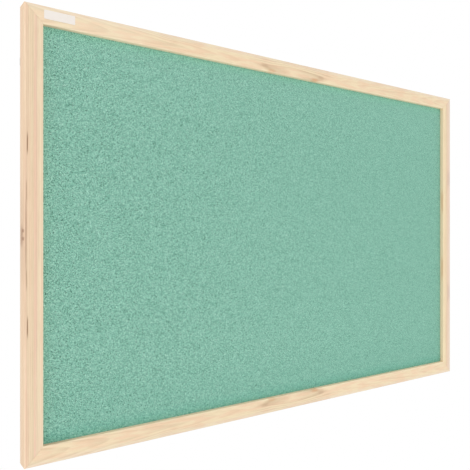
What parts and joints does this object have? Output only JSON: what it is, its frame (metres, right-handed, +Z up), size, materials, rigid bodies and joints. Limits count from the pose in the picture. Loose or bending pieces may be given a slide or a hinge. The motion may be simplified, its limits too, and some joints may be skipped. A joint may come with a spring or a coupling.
{
  "type": "cork board",
  "caption": "Wall notice board with a green cork face in a mitred pine frame, with strap hangers whose rings swing and rubber bumpers behind.",
  "frame": {"origin": "middle of the board's outline, on the wall plane that the rear faces of the bumpers rest on", "axes": "+X along the board's width, to the right of someone who looks at its front; +Y into the wall, so the front faces -Y; +Z up"},
  "size_m": [0.9, 0.0296, 0.6],
  "materials": {
    "pine": "satin",
    "dyed_cork": "matte",
    "softboard": "matte",
    "hardboard": "satin",
    "label_film": "satin",
    "plated_steel": "satin",
    "spring_steel": "satin",
    "rubber": "matte"
  },
  "bodies": {
    "board": {"frame_top_rail": "pine", "frame_right_stile": "pine", "frame_bottom_rail": "pine", "frame_left_stile": "pine", "corner_nail_top_left_outer": "spring_steel", "corner_nail_top_left_inner": "spring_steel", "corner_nail_top_right_outer": "spring_steel", "corner_nail_top_right_inner": "spring_steel", "corner_nail_bottom_right_outer": "spring_steel", "corner_nail_bottom_right_inner": "spring_steel", "corner_nail_bottom_left_outer": "spring_steel", "corner_nail_bottom_left_inner": "spring_steel", "cork_sheet": "dyed_cork", "softboard_core": "softboard", "hardboard_back": "hardboard", "framer_point_top_1": "spring_steel", "framer_point_top_2": "spring_steel", "framer_point_top_3": "spring_steel", "framer_point_top_4": "spring_steel", "framer_point_right_1": "spring_steel", "framer_point_right_2": "spring_steel", "framer_point_bottom_1": "spring_steel", "framer_point_bottom_2": "spring_steel", "framer_point_bottom_3": "spring_steel", "framer_point_bottom_4": "spring_steel", "framer_point_left_1": "spring_steel", "framer_point_left_2": "spring_steel", "front_label": "label_film", "hanger_strap_left": "plated_steel", "hanger_strap_right": "plated_steel", "hanger_screw_left_upper": "plated_steel", "hanger_screw_left_lower": "plated_steel", "hanger_screw_right_upper": "plated_steel", "hanger_screw_right_lower": "plated_steel", "wall_bumper_left": "rubber", "wall_bumper_right": "rubber"},
    "ring_left": {"hanger_ring_left": "plated_steel"},
    "ring_right": {"hanger_ring_right": "plated_steel"}
  },
  "joints": [
    {"name": "ring_left_swing", "type": "hinge", "parent": "board", "child": "ring_left", "pos_m": [-0.442, -0.0025, 0.235], "axis": [1, 0, 0], "range_deg": [0, 180]},
    {"name": "ring_right_swing", "type": "hinge", "parent": "board", "child": "ring_right", "pos_m": [0.442, -0.0025, 0.235], "axis": [1, 0, 0], "range_deg": [0, 180]}
  ]
}
